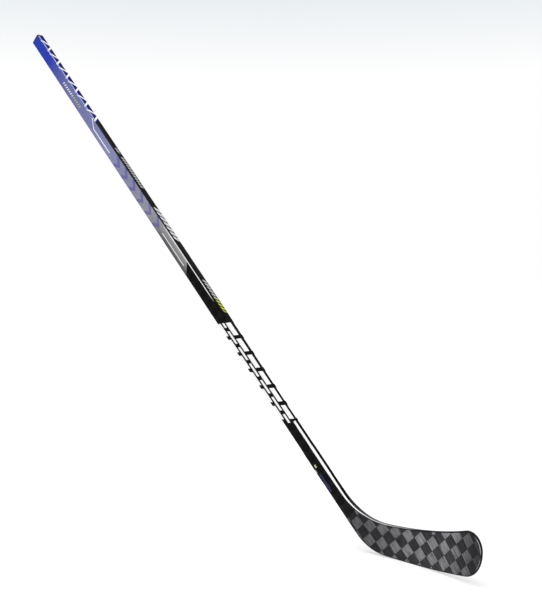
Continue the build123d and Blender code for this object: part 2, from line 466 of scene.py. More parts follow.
def make_plug(paint):
    seat = SHAFT_LENGTH - PLUG_FLANGE + PLUG_SEAT_GAP
    fit = SHAFT_WALL + PLUG_CLEARANCE
    outer = inset(SHAFT_SECTION, fit)
    hollow = inset(SHAFT_SECTION, fit + PLUG_WALL)
    low_end = seat - PLUG_INSERT
    rings = [(seat, hollow), (low_end, hollow), (low_end, inset(outer, LEAD_IN_DEPTH))]
    rings.append((low_end + LEAD_IN_LENGTH, outer))
    # Shallow grooves round the insert leave the ribs that grip the tube
    grooved = inset(outer, GROOVE_DEPTH)
    pitch = PLUG_INSERT / (GROOVES + 1)
    for groove in range(1, GROOVES + 1):
        start = low_end + groove * pitch - GROOVE_WIDTH / 2
        end = start + GROOVE_WIDTH
        rings += [(start, outer), (start + GROOVE_DEPTH, grooved)]
        rings += [(end - GROOVE_DEPTH, grooved), (end, outer)]
    rings += [(seat, outer), (seat, inset(SHAFT_SECTION, PLUG_SEAM_BREAK))]
    rings.append((seat + PLUG_SEAM_BREAK, SHAFT_SECTION))
    for step in range(PLUG_ROUND_STEPS + 1):
        angle = math.radians(90 * step / PLUG_ROUND_STEPS)
        distance = SHAFT_LENGTH - PLUG_EDGE_ROUND * (1 - math.sin(angle))
        rings.append((distance, inset(SHAFT_SECTION, PLUG_EDGE_ROUND * (1 - math.cos(angle)))))
    for amount, depth in DISH:
        rings.append((SHAFT_LENGTH - depth, inset(SHAFT_SECTION, amount)))
    shell = Shell("butt_end_plug")
    index = loft(shell, rings, closed=False)
    shell.flat_face(index[0], -UP_SHAFT)
    shell.flat_face(index[-1], UP_SHAFT)
    piece = shell.build(paint, "plug", "plug_plastic")
    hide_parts("end_plug")


# ---- Blade outline in side view: places, each with its outward normal and its way out for a
# step of one, from the neck round the sole to the toe and back along the top edge to the neck

OUTLINE_STEP = 2 * MM


def flat(x, z):
    return Vector((x, z))


def straight_run(start, end):
    count = max(1, round((end - start).length / OUTLINE_STEP))
    direction = (end - start).normalized()
    normal = flat(direction.y, -direction.x)
    return [(start.lerp(end, step / count), normal) for step in range(count)]


def arc_run(centre, start, end, bulge):
    """Part of a circle; bulge is 1 where the outline curves outwards and -1 where it curves in."""
    first = math.atan2(start.y - centre.y, start.x - centre.x)
    last = math.atan2(end.y - centre.y, end.x - centre.x)
    radius = (start - centre).length
    sweep = math.remainder(last - first, 2 * math.pi)
    count = max(1, round(radius * abs(sweep) / OUTLINE_STEP))
    run = []
    for step in range(count):
        angle = first + sweep * step / count
        ray = flat(math.cos(angle), math.sin(angle))
        run.append((centre + ray * radius, ray * bulge))
    return run


def meet(point, direction, centre, radius):
    """The first point along a line that is a distance from a centre."""
    offset = point - centre
    along = offset.dot(direction)
    return point - direction * (along + math.sqrt(along**2 - offset.length_squared + radius**2))


def towards(centre, point, radius):
    return centre + (point - centre).normalized() * radius


foot = flat(FOOT.x, FOOT.z)
up_shaft = flat(UP_SHAFT.x, UP_SHAFT.z)
across_shaft = flat(ACROSS.x, ACROSS.z)
neck_heel_side = foot + up_shaft * NECK_START - across_shaft * (NECK_SECTION[0] / 2)
throat_tangent = THROAT_RADIUS * math.tan(LIE / 2)
THROAT_X = FOOT.x + NECK_SECTION[0] / 2 / math.sin(LIE) - THROAT_HEIGHT / math.tan(LIE)
throat_centre = flat(THROAT_X + throat_tangent, THROAT_HEIGHT + THROAT_RADIUS)
top_centre = flat(TOP_RISE_X, THROAT_HEIGHT + TOP_RADIUS)
THROAT_TOP = (throat_centre - foot).dot(up_shaft)


def blade_outline():
    rocker_back = flat(-CONTACT_HALF, ROCKER_RADIUS)
    rocker_front = flat(CONTACT_HALF, ROCKER_RADIUS)
    heel_line = neck_heel_side + across_shaft * HEEL_RADIUS
    heel_centre = meet(heel_line, up_shaft, rocker_back, ROCKER_RADIUS - HEEL_RADIUS)
    upright = flat(0, 1)
    low_line = flat(TOE_X - TOE_LOW_RADIUS, 0)
    toe_low = meet(low_line, upright, rocker_front, ROCKER_RADIUS - TOE_LOW_RADIUS)
    high_line = flat(TOE_X - TOE_HIGH_RADIUS, 0)
    toe_high = meet(high_line, upright, top_centre, TOP_RADIUS + TOE_HIGH_RADIUS)

    heel_top = heel_centre - across_shaft * HEEL_RADIUS
    heel_sole = towards(rocker_back, heel_centre, ROCKER_RADIUS)
    contact_back = flat(-CONTACT_HALF, 0)
    contact_front = flat(CONTACT_HALF, 0)
    toe_sole = towards(rocker_front, toe_low, ROCKER_RADIUS)
    toe_low_side = flat(TOE_X, toe_low.y)
    toe_high_side = flat(TOE_X, toe_high.y)
    toe_top = towards(top_centre, toe_high, TOP_RADIUS)
    top_rise = flat(TOP_RISE_X, THROAT_HEIGHT)
    throat_low = flat(throat_centre.x, THROAT_HEIGHT)
    # The blade's own parts stop at the neck, a little below the top of the throat's curve
    below_top = THROAT_TOP - NECK_START
    throat_reach = math.sqrt(THROAT_RADIUS**2 - below_top**2)
    throat_cut = throat_centre - up_shaft * below_top - across_shaft * throat_reach

    outline = straight_run(neck_heel_side, heel_top)
    outline += arc_run(heel_centre, heel_top, heel_sole, 1)
    outline += arc_run(rocker_back, heel_sole, contact_back, 1)
    outline += straight_run(contact_back, contact_front)
    outline += arc_run(rocker_front, contact_front, toe_sole, 1)
    outline += arc_run(toe_low, toe_sole, toe_low_side, 1)
    outline += straight_run(toe_low_side, toe_high_side)
    outline += arc_run(toe_high, toe_high_side, toe_top, 1)
    outline += arc_run(top_centre, toe_top, top_rise, -1)
    outline += straight_run(top_rise, throat_low)
    outline += arc_run(throat_centre, throat_low, throat_cut, -1)
    outline = [(place, normal, normal) for place, normal in outline]
    cut_normal = (throat_centre - throat_cut) / THROAT_RADIUS
    outline.append((throat_cut, cut_normal, across_shaft / cut_normal.dot(across_shaft)))
    return outline


outline = blade_outline()

# ---- Blade skins and edge strips

# The rounded rim, from the face (angle 0) to where the skin ends and the edge strip begins
RIM_STEPS = 7
RIM_END = math.acos(1 - SKIN / BLADE_ROUND)
INNER_RINGS = (10 * MM, 7 * MM, 4.8 * MM, 3.4 * MM)
FILL_PITCH = 5 * MM
FILL_CLEARANCE = 0.45 * FILL_PITCH
FILL_TOLERANCE = 1e-7
NECK_STEPS = 4
STRIP_STEPS = 4
EDGE_ATTRIBUTE = "edge_distance"


def rim(angle):
    """How far in from the outline and below the face the rounded rim is at an angle."""
    return BLADE_ROUND * (1 - math.sin(angle)), BLADE_ROUND * (1 - math.cos(angle))


def skin_rings():
    """Each ring's distance in from the outline, depth below the face and rim angle."""
    rings = [(distance, 0.0, 0.0) for distance in INNER_RINGS]
    for step in range(RIM_STEPS + 1):
        angle = RIM_END * step / RIM_STEPS
        rings.append((*rim(angle), angle))
    return rings


def fill_triangles(boundary):
    """Triangles of even size inside a boundary, with the places of the points added to it."""
    low_x = min(place.x for place in boundary)
    high_x = max(place.x for place in boundary)
    low_z = min(place.y for place in boundary)
    high_z = max(place.y for place in boundary)
    places = list(boundary)
    rows = int((high_z - low_z) / FILL_PITCH)
    columns = int((high_x - low_x) / FILL_PITCH)
    for row in range(rows + 1):
        for column in range(columns + 1):
            x = low_x + (column + 0.5 * (row % 2)) * FILL_PITCH
            candidate = flat(x, low_z + (row + 0.5) * FILL_PITCH)
            if clear_inside(candidate, boundary, FILL_CLEARANCE):
                places.append(candidate)
    loop = list(range(len(boundary)))
    result = geometry.delaunay_2d_cdt(places, [], [loop], 1, FILL_TOLERANCE)
    return result[0], result[2], result[3]


def clear_inside(place, boundary, clearance):
    """Whether a place is inside a boundary and at least a clearance from it."""
    inside = False
    for start, end in zip(boundary, boundary[1:] + boundary[:1]):
        if (start.y > place.y) != (end.y > place.y):
            crossing = start.x + (place.y - start.y) * (end.x - start.x) / (end.y - start.y)
            if place.x < crossing:
                inside = not inside
        if (start - place).length < clearance:
            return False
    return inside


class Skin(Shell):
    """One face of the blade: a rounded, cambered sheet with its own inner surface."""

    def __init__(self, name, side):
        super().__init__(name)
        self.side = side
        self.places = []
        self.outer_normals = []
        self.edge = []

    def outer_point(self, place, depth, normal, distance):
        self.places.append(place)
        self.outer_normals.append(normal)
        self.edge.append(distance)
        return self.point(blade_point(place, self.side, depth))

    def open_point(self, place):
        """A point on the open face, inside the innermost ring."""
        return self.outer_point(place, 0.0, face_normal(place, self.side), INNER_RINGS[0])

    def ring(self, distance, depth, angle):
        """A row of points along the whole outline, a distance in from it."""
        row = []
        for place, outward, step_out in outline:
            moved = place - step_out * distance
            tilted = face_normal(moved, self.side) * math.cos(angle)
            tilted += Vector((outward.x, 0, outward.y)) * math.sin(angle)
            row.append(self.outer_point(moved, depth, tilted.normalized(), distance))
        return row

    def filling(self, boundary):
        """Triangles over the open face, inside a boundary of points."""
        places, triangles, sources = fill_triangles([self.places[point] for point in boundary])
        fill = []
        for place, source in zip(places, sources):
            if source and source[0] < len(boundary):
                fill.append(boundary[source[0]])
            else:
                fill.append(self.open_point(flat(*place)))
        return [[fill[corner] for corner in triangle] for triangle in triangles]

    def inner_points(self, outermost):
        """The inner surface's point under each outer one; both share the outermost ring."""
        inner = {point: point for point in outermost}
        for point, place in enumerate(self.places):
            if point not in inner:
                inner[point] = self.point(blade_point(place, self.side, SKIN))
                self.edge.append(self.edge[point])
        return inner


def make_skin(name, node, side, paint):
    skin = Skin(name, side)
    rings = [skin.ring(*ring) for ring in skin_rings()]
    first = skin.places[rings[0][-1]]
    last = skin.places[rings[0][0]]
    steps = range(1, NECK_STEPS)
    neck_cut = [skin.open_point(first.lerp(last, step / NECK_STEPS)) for step in steps]
    outer_faces = skin.filling(rings[0] + neck_cut)
    for near, far in zip(rings, rings[1:]):
        for step in range(len(near) - 1):
            outer_faces.append([near[step], near[step + 1], far[step + 1], far[step]])

    inner = skin.inner_points(rings[-1])
    for corners in outer_faces:
        skin.face(corners, [skin.outer_normals[corner] for corner in corners])
        below = [inner[corner] for corner in corners]
        skin.face(below, [-face_normal(skin.places[corner], side) for corner in corners])

    # The cut across the neck closes the sheet; it has triangles where the surfaces meet
    cut = [ring[-1] for ring in reversed(rings)] + neck_cut + [ring[0] for ring in rings]
    for near, far in zip(cut, cut[1:]):
        skin.flat_face(list(dict.fromkeys((near, far, inner[far], inner[near]))), UP_SHAFT)

    piece = skin.build(paint, "stick", "woven_carbon")
    attribute = piece.data.attributes.new(EDGE_ATTRIBUTE, "FLOAT", "POINT")
    attribute.data.foreach_set("value", skin.edge)
    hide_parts(node)


def strip_profile():
    """The strip's cross-section: each corner's side, distance in, depth and rim angle."""
    halves = []
    for side in (-1, 1):
        half = []
        for step in range(STRIP_STEPS + 1):
            angle = RIM_END + (math.pi / 2 - RIM_END) * step / STRIP_STEPS
            half.append((side, *rim(angle), angle))
        halves.append(half)
    return halves[0] + halves[1][::-1] + [(1, EDGE_STRIP, SKIN, None), (-1, EDGE_STRIP, SKIN, None)]


def make_strip(name, node, run, paint, slot):
    """An edge strip between the two skins, swept along part of the outline."""
    shell = Shell(name)
    profile = strip_profile()
    count = len(profile)
    rows = []
    for place, outward, step_out in run:
        row = []
        for side, distance, depth, angle in profile:
            row.append(shell.point(blade_point(place - step_out * distance, side, depth)))
        rows.append(row)

    def normal_at(step, column):
        side, distance, depth, angle = profile[column]
        outward = run[step][1]
        deep = Vector((0, side, 0)) * math.cos(angle)
        return (deep + Vector((outward.x, 0, outward.y)) * math.sin(angle)).normalized()

    for step in range(len(run) - 1):
        outward = run[step][1]
        # Behind the rounded front lie the backhand flat, the back and the forehand flat
        flats = {
            count - 3: Vector((0, 1, 0)),
            count - 2: Vector((-outward.x, 0, -outward.y)),
            count - 1: Vector((0, -1, 0)),
        }
        for column in range(count):
            after = (column + 1) % count
            spots = ((step, column), (step, after), (step + 1, after), (step + 1, column))
            corners = [rows[spot[0]][spot[1]] for spot in spots]
            if column in flats:
                shell.flat_face(corners, flats[column])
            else:
                shell.face(corners, [normal_at(*spot) for spot in spots])
    start = run[0][0] - run[1][0]
    end = run[-1][0] - run[-2][0]
    shell.flat_face(rows[0], Vector((start.x, 0, start.y)).normalized())
    shell.flat_face(rows[-1], Vector((end.x, 0, end.y)).normalized())
    piece = shell.build(paint, "stick", slot)
    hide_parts(node)


def split_outline():
    """The outline's parts along the sole, round the toe and along the top."""
    first = next(step for step, item in enumerate(outline) if item[0].x > TOE_SPLIT_X)
    last = max(step for step, item in enumerate(outline) if item[0].x > TOE_SPLIT_X)
    return outline[: first + 1], outline[first : last + 1], outline[last:]


# ---- Print on the shaft. Places in millimetres: s from the butt, w across the wide faces
# (towards the toe) and y across the narrow faces (towards the backhand).

WHITE = linear(252, 252, 252)
DEEP_BLACK = linear(5, 5, 6)
BLACK = linear(14, 13, 15)
CHARCOAL = linear(32, 31, 34)
NAVY = linear(14, 22, 92)
ROYAL = linear(50, 68, 180)
LAVENDER = linear(110, 112, 168)
PALE_LAVENDER = linear(136, 140, 182)
MIST = linear(140, 141, 165)
SILVER = linear(158, 157, 160)
VIOLET = linear(92, 88, 165)
LILAC_HIGHLIGHT = linear(168, 180, 236)
LIME = linear(190, 205, 60)
SLATE = linear(52, 54, 90)
PALE_LIME = linear(206, 208, 150)
PALE_GREY = linear(190, 191, 194)
MARK_GREY = linear(205, 206, 208)
PRINT_EDGE = 0.35
THIN_EDGE = 0.8
LENGTH = SHAFT_LENGTH / MM
SECTION_STEP = (SHAFT_SECTION[1] - SHAFT_SECTION[0]) / 2 / MM
FAINT_TILE = 26
PATCH_SCALE = 19.2
ORANGE_PEEL_SCALE = 960.0
LACQUER_RELIEF = 0.01 * MM

# The colour of the wide faces at distances from the butt
WIDE_FADE = (
    (0, ROYAL),
    (88, ROYAL),
    (190, LAVENDER),
    (430, PALE_LAVENDER),
    (560, MIST),
    (700, SILVER),
)
SHADE_REACH = (680, 1000)
BLACK_START = 818.5
BEND_REACH = (323, 436)
BEND_SLOPE = -0.6
BEND_TOP = 14
BEND_LEVEL = -2.0
CHEVRON_PITCH = 40
CHEVRON_START = 470
CHEVRON_SLANT = 1.3
CHEVRON_REACH = (474, 712)
CENTRE_LINE = -2.2
CENTRE_LINE_REACH = (706, 808)
PINSTRIPE = 12.4
PINSTRIPE_REACH = (706, 915)
NARROW_BLACK_START = 343
STRIPE_START = 1256
STRIPE_THIN_START = 1400

# Slanted bars: start, end, pitch, width, slant and, where there is one, shift along the shaft
DASHES = (176, 274, 8.2, 3.8, -0.6)
BLOCKS = (981, 1251, 45, 35, -0.67)
ZIGZAG_DOWN = (30, 332, 54, 7.5, -0.95)
ZIGZAG_UP = (30, 332, 54, 6.5, 0.95, 24)
FIRST_MARKS = (436, 454, 8, 5, -0.5)
LONG_MARKS = (468, 576, 9, 5.6, -0.5)
BROAD_BARS = (641, 745, 15.5, 10.5, -0.9)
TAIL_BARS = (868, 962, 10, 6.4, -0.7)

# Marks on the neck: start, end and edge softness along the shaft, lowest and highest place
NECK_TICK = (1353, 1360, 0.5, -7.0, -3.4)
LOWER_TICK = (1362, 1369, 0.5, -12.4, -9.4)
NECK_DASH = (1374, 1416, 1, -9.5, -4.4)

# The rows of blocks: lowest and highest place across the face, and shift along the shaft
BLOCK_ROWS = ((-16, -6.2, 0), (-2.4, 2.6, 22.5), (6.2, 16, 0))


def shaft_places(paint):
    s = paint.along(-UP_SHAFT, BUTT) / MM
    w = paint.along(ACROSS, BUTT) / MM
    y = paint.along((0, 1, 0), BUTT) / MM
    return s, w, y


def slanted_bars(s, across, start, end, pitch, width, slant, shift=0.0):
    """Repeated slanted bars between two distances along the shaft."""
    leaning = s + across * slant
    place = ((leaning - (start + shift)) / pitch).fract() * pitch
    return place.between(0.5, width + 0.5, PRINT_EDGE) * leaning.between(start, end, PRINT_EDGE)


def chequer(first, second):
    """1 on every other tile, from the places along two directions, in tiles."""
    return ((first.floor() + second.floor()) / 2).fract().above(0.25, 0.01)


def black_laminate(paint, s, w):
    """Black paint with the laminate's wide tows just visible through it."""
    faint_weave = chequer((s + w) / FAINT_TILE, (s - w) / FAINT_TILE)
    return paint.mix(faint_weave * 0.5, BLACK, CHARCOAL)


def black_neck(paint, s, w, y):
    """The lower shaft's black, deeper on its narrow faces."""
    on_wide = (-below_face(paint, y)).above(-1.2, 1.0)
    return paint.mix(on_wide, DEEP_BLACK, black_laminate(paint, s, w))


def thin_line(s, off_line, half, reach, fade):
    """A line along the shaft, from the distance off its middle."""
    return off_line.within(half, THIN_EDGE) * s.between(*reach, fade)


def chevron_marks(s, w):
    leaning = s + w.abs() * CHEVRON_SLANT
    marks = ((leaning - CHEVRON_START) / CHEVRON_PITCH).fract().between(0.18, 0.50, 0.05)
    return marks * leaning.between(*CHEVRON_REACH, 0.5) * w.within(12.8, 0.4)


def block_band(s, w):
    """A broad band of slanted blocks in staggered rows."""
    rows = []
    for low, high, shift in BLOCK_ROWS:
        rows.append(slanted_bars(s, w, *BLOCKS, shift) * w.between(low, high, PRINT_EDGE))
    return rows[0].larger(rows[1]).larger(rows[2])


def wide_face(paint, s, w):
    colour = paint.ramp(s / LENGTH, [(place / LENGTH, tone) for place, tone in WIDE_FADE])
    shade = (-w).above(1.5, 25) * s.between(*SHADE_REACH, 80)
    colour = paint.mix(shade * 0.9, colour, CHARCOAL)

    dashes = slanted_bars(s, w, *DASHES) * w.within(3.2, PRINT_EDGE)
    colour = paint.mix(dashes * 0.85, colour, paint.mix(s.above(228, 12), WHITE, LIME))

    bend = ((s - BEND_REACH[0]) * BEND_SLOPE + BEND_TOP).larger(BEND_LEVEL)
    bent_line = thin_line(s, w - bend, 1.3, BEND_REACH, 1)
    colour = paint.mix(bent_line, colour, WHITE)
    colour = paint.mix(chevron_marks(s, w) * 0.65, colour, VIOLET)
    centre_line = thin_line(s, w - CENTRE_LINE, 1.3, CENTRE_LINE_REACH, 1)
    colour = paint.mix(centre_line * 0.75, colour, WHITE)

    black_part = (s + w * 0.95).above(BLACK_START, 0.6)
    colour = paint.mix(black_part, colour, black_laminate(paint, s, w))
    pinstripe = thin_line(s, w - PINSTRIPE, 1.2, PINSTRIPE_REACH, 30)
    colour = paint.mix(pinstripe, colour, WHITE)
    return paint.mix(block_band(s, w), colour, WHITE)


def narrow_face(paint, s, y):
    colour = paint.mix(s.above(NARROW_BLACK_START, 4), NAVY, DEEP_BLACK)
    zigzag = slanted_bars(s, y, *ZIGZAG_DOWN).larger(slanted_bars(s, y, *ZIGZAG_UP))
    colour = paint.mix(zigzag, colour, WHITE)
    marks = slanted_bars(s, y, *FIRST_MARKS).larger(slanted_bars(s, y, *LONG_MARKS))
    marks = marks * y.within(3.8, PRINT_EDGE)
    colour = paint.mix(marks * 0.85, colour, PALE_GREY)
    bars = slanted_bars(s, y, *BROAD_BARS) * y.within(5.6, PRINT_EDGE)
    colour = paint.mix(bars, colour, MARK_GREY)
    tail = slanted_bars(s, y, *TAIL_BARS) * y.within(4.4, PRINT_EDGE)
    return paint.mix(tail * 0.9, colour, paint.mix(s.above(922, 10), PALE_GREY, LIME))


def satin(paint, low, high):
    """Handled lacquer: patches of slightly different gloss, and a fine orange-peel surface."""
    patches = paint.noise(PATCH_SCALE, 4.0)
    fine = paint.noise(ORANGE_PEEL_SCALE, 3.0)
    # The noise seldom nears 0 or 1, so its range is stretched past the two limits
    spread = high - low
    paint.rough(patches * spread * 1.6 + (low - spread * 0.3))
    paint.bump(fine + patches * 2.0, LACQUER_RELIEF, 0.2)
    paint.gloss(0.06, 0.02, 0.14)


def below_upper_edge(paint, s, w):
    """Distance in millimetres below the upper outline of the neck, throat and blade."""
    x = paint.along((1, 0, 0)) / MM
    z = paint.along((0, 0, 1)) / MM
    from_throat = distance_to(x, z, throat_centre) - THROAT_RADIUS / MM
    from_top = distance_to(x, z, top_centre) - TOP_RADIUS / MM
    from_ridge = -w + NECK_SECTION[0] / 2 / MM
    lower = paint.choose(x.above(TOP_RISE_X / MM, 0.5), from_throat, from_top)
    return paint.choose(s.above(LENGTH - THROAT_TOP / MM, 0.5), from_ridge, lower)


def distance_to(x, z, centre):
    across = x - centre.x / MM
    up = z - centre.y / MM
    return (across * across + up * up).sqrt()


def below_face(paint, y):
    """Distance in millimetres below the nearer wide face of the neck, where it is not cambered."""
    x = paint.along((1, 0, 0))
    part = ((x - BLADE_THIN_START) / (BLADE_HEEL_X - BLADE_THIN_START)).clamp()
    thinned = part * part * (3 - part * 2)
    loss = (NECK_SECTION[1] - BLADE_HEEL_THICKNESS) / 2 / MM
    return (NECK_SECTION[1] / 2 / MM - thinned * loss) - y.abs()


def white_stripe(paint, s, w, y, colour, reach=3.4):
    """The stripe on the upper ridge, which thins along the throat and ends on the blade."""
    x = paint.along((1, 0, 0)) / MM
    past_neck = (s - STRIPE_THIN_START).larger(0.0)
    lowest = (3.2 - past_neck * 0.026).larger(0.7)
    stripe = (lowest - below_upper_edge(paint, s, w)).above(0.0, 0.4)
    stripe = stripe * (reach - past_neck * 0.02 - below_face(paint, y)).above(0.0, 0.4)
    stripe = stripe * s.above(STRIPE_START, 1) * (-x).above(22, 70) * w.above(0, 1)
    return paint.mix(stripe, colour, WHITE)


def patch(s, w, start, end, soft, low, high):
    return s.between(start, end, soft) * w.between(low, high, PRINT_EDGE)


def neck_marks(paint, s, w, y, colour):
    """Two small pale ticks and a slate dash near the lower edge of the wide faces."""
    on_face = (y.abs() - w.abs()).above(SECTION_STEP - 0.9, 0.4)
    ticks = patch(s, w, *NECK_TICK).larger(patch(s, w, *LOWER_TICK) * 0.6)
    colour = paint.mix(ticks * on_face, colour, PALE_LIME)
    return paint.mix(patch(s, w, *NECK_DASH) * on_face, colour, SLATE)


def shaft_paint():
    paint = Paint("printed_lacquer")
    s, w, y = shaft_places(paint)
    # The wide faces' print stops short of the ridge, but the blocks lower down wrap over it
    past_ridge = (y.abs() - w.abs()) - SECTION_STEP
    blocks_wrap = s.between(978, 1254, 2) * 6.0
    on_wide = (past_ridge + blocks_wrap).above(1.4, 0.6)
    colour = paint.mix(on_wide, narrow_face(paint, s, y), wide_face(paint, s, w))
    # Painted highlight: a pale lilac band along the rounded ridge of the upper shaft, where the
    # corner catches the light
    ridge = past_ridge.between(-3.6, 0.2, 0.8) * s.between(-10, 337, 1)
    colour = paint.mix(ridge * 0.85, colour, LILAC_HIGHLIGHT)
    colour = white_stripe(paint, s, w, y, colour)
    paint.colour(colour)
    satin(paint, 0.24, 0.40)
    return paint.material


def neck_paint(name, low, high):
    paint = Paint(name)
    s, w, y = shaft_places(paint)
    colour = white_stripe(paint, s, w, y, black_neck(paint, s, w, y))
    paint.colour(neck_marks(paint, s, w, y, colour))
    satin(paint, low, high)
    return paint.material


# ---- Woven blade

TILE = 20.28 * MM
TILE_TURN = -0.0309
TILE_START = (-33.84 * MM, 40.23 * MM)
WEAVE_START = 1476.0
WEAVE_RELIEF = 0.12 * MM
# Painted reflection: tows of one direction are painted light and tows of the other dark, standing in
# for how their fibres reflect the light
LIGHT_TOW = (linear(52, 52, 55), linear(148, 147, 150))
DARK_TOW = (linear(28, 27, 30), linear(72, 71, 75))
TOW_GAP = linear(24, 24, 26)
TOW_HALF = 0.488
TOW_BUNDLES = 12
HIGH_TOE_HIGHLIGHT = (62 * MM, 84 * MM)
LOW_TOE_HIGHLIGHT = (32 * MM, 52 * MM)
RIM_BLACK = linear(16, 16, 18)
TOE_HIGHLIGHT = linear(205, 206, 210)


def weave_places(x, z):
    """Places along the two directions of the tows, in tiles, with the blade's curve unrolled."""
    radius = 1 / CAMBER_CURVATURE
    reach = x - CAMBER_START
    around = (reach.larger(0.0) / radius).asin() * radius + reach.smaller(0.0)
    across = around - TILE_START[0]
    up = z - TILE_START[1]
    turned = (across * math.cos(TILE_TURN) + up * math.sin(TILE_TURN)) / TILE
    raised = (up * math.cos(TILE_TURN) - across * math.sin(TILE_TURN)) / TILE
    return (turned - raised) * math.sqrt(0.5), (turned + raised) * math.sqrt(0.5)


def painted_toe_sheen(x):
    """A painted sheen: the tows are painted brightest towards the toe, where the blade turns to the
    light, and darker towards the heel and the toe's tip.
    """
    heel_fall = (50 * MM - x) / (165 * MM)
    toe_fall = (x - 92 * MM) / (52 * MM)
    return 1.0 - (heel_fall * 0.6).larger(toe_fall * 0.8).clamp()


def rim_print_and_toe_highlight(paint, x, z, woven):
    """The weave's dark rim, and a painted highlight on the rounded rim in two parts round the toe."""
    edge = paint.attribute(EDGE_ATTRIBUTE) / MM
    rim_dark = (2.2 - edge).above(0.0, 0.6)
    woven = paint.mix(rim_dark * 0.9, woven, RIM_BLACK)
    # Painted highlight: a pale line just inside the toe's edge, where the rounded rim catches the
    # light
    toe_highlight = edge.between(2.3, 3.7, 0.5) * x.above(140 * MM, 20 * MM)
    high_part = z.between(*HIGH_TOE_HIGHLIGHT, 6 * MM)
    low_part = z.between(*LOW_TOE_HIGHLIGHT, 6 * MM)
    return paint.mix(toe_highlight * (high_part * 0.8 + low_part * 0.3), woven, TOE_HIGHLIGHT)


def blade_paint():
    """Two directions of flat carbon tows, and the black, white-striped part above them."""
    paint = Paint("spread_tow_weave")
    s, w, y = shaft_places(paint)
    x = paint.along((1, 0, 0))
    z = paint.along((0, 0, 1))
    first, second = weave_places(x, z)
    # The chequer of painted reflection: tiles whose fibres catch the light are painted light, the
    # others dark
    light = chequer(first, second)

    # Fibre bundles run along one diagonal of the tiles: a regular comb, loosened by noise
    wander = paint.noise(1.0, 6.0, paint.combine(first * 0.7, second * 7, 0.0), 0.72)
    comb = (second * TOW_BUNDLES + wander * 3).ping_pong(1)
    streaks = wander * 0.8 + comb * 0.2
    tile_tone = paint.random(paint.combine(first.floor(), second.floor(), 0.0))

    # A tow bows over its neighbour: painted shade darkens its colour where it dips under, so it is
    # brightest in the middle
    crown_light = (first.fract() - 0.5).abs()
    crown_dark = (second.fract() - 0.5).abs()
    # The painted sheen scales both tows' tones along the blade
    sheen = painted_toe_sheen(x)
    light_tone = (streaks - 0.5) * 4.8 + tile_tone * 0.2 + 0.60 - crown_light * 0.3
    dark_tone = (streaks - 0.5) * 4.4 + tile_tone * 0.3 + 0.35 - crown_dark * 0.2
    light_colour = paint.mix((light_tone * sheen).clamp(), *LIGHT_TOW)
    dark_colour = paint.mix((dark_tone * sheen).clamp(), *DARK_TOW)
    woven = paint.mix(light, dark_colour, light_colour)
    gaps = crown_light.larger(crown_dark).above(TOW_HALF, 0.012)
    woven = paint.mix(gaps * 0.55, woven, TOW_GAP)
    woven = rim_print_and_toe_highlight(paint, x, z, woven)

    colour = paint.mix(s.above(WEAVE_START, 0.6), black_neck(paint, s, w, y), woven)
    paint.colour(white_stripe(paint, s, w, y, colour, reach=100))

    crown = paint.choose(light, crown_dark, crown_light)
    paint.rough(streaks * 0.14 + 0.26)
    paint.bump(streaks * 0.25 - crown, WEAVE_RELIEF, 0.6)
    paint.gloss(0.09, 0.04, 0.2)
    return paint.material


def edge_paint(name, base, pale, low, high, striped=False):
    """Black resin-rich laminate of the blade's edges, with fibres along it."""
    paint = Paint(name)
    x = paint.along((1, 0, 0))
    z = paint.along((0, 0, 1))
    y = paint.along((0, 1, 0))
    fibres = paint.noise(1.0, 3.0, paint.combine(x * 60, y * 2500, z * 400), 0.6)
    colour = paint.mix(fibres.above(0.55, 0.5) * 0.6, base, pale)
    if striped:
        s, w, deep = shaft_places(paint)
        colour = white_stripe(paint, s, w, deep, colour)
    paint.colour(colour)
    paint.rough(fibres * (high - low) + low)
    paint.bump(fibres, 0.08 * MM, 0.5)
    paint.gloss(0.25)
    return paint.material


# ---- Plug, adhesive and the foams inside


def rubber_paint(name, base, pale):
    paint = Paint(name)
    grain = paint.noise(1800.0, 3.0)
    patches = paint.noise(60.0, 3.0)
    paint.colour(paint.mix((patches * 0.7 + grain * 0.3).clamp(), base, pale))
    paint.rough(grain * 0.2 + 0.5)
    paint.bump(grain, 0.1 * MM, 0.6)
    paint.gloss(0.3)
    return paint.material


def foam_paint(name, base, pale, cell):
    """Closed-cell foam: round cells of about one size, with paler walls."""
    paint = Paint(name)
    cells = add_node(paint.tree, "ShaderNodeTexVoronoi", Scale=1 / cell, Vector=paint.place)
    distance = Value(paint.tree, cells.outputs["Distance"])
    tint = paint.noise(40.0, 2.0)
    paint.colour(paint.mix((distance * 0.8 + tint * 0.3).clamp(), base, pale))
    paint.rough(distance * 0.2 + 0.7)
    paint.bump(distance, cell * 0.3, 0.7)
    return paint.material


def resin_paint():
    paint = Paint("set_epoxy")
    cloud = paint.noise(220.0, 3.0)
    paint.colour(paint.mix(cloud, linear(150, 128, 78), linear(196, 174, 120)))
    paint.rough(cloud * 0.2 + 0.2)
    paint.bump(cloud, 0.1 * MM, 0.4)
    return paint.material


# ---- Camera, floor and lights

CAMERA_PLACE = Vector((0.87576, -1.48185, 0.54655))
CAMERA_YAW = math.radians(-39.42)
CAMERA_PITCH = math.radians(-1.87)
CAMERA_ROLL = math.radians(0.32)
CAMERA_LENS = 55.09
SENSOR = 36.0
FLOOR_SIZE = 30
FLOOR_GLOW = 0.5
SKY_WHITE_END = 0.205
SKY_GREY_START = 0.285
SKY_GREY = linear(232, 237, 240)
STUDIO_WHITE = (1.0, 1.0, 1.0)
SOFT_LIGHT = 0.30
LAMP_SIZE = 1.6
LAMP_POWER = 14
CEILING_POWER = 2.7
CEILING_SPREAD = math.radians(60)
CEILING_TILT = (math.radians(8), math.radians(-6), 0)


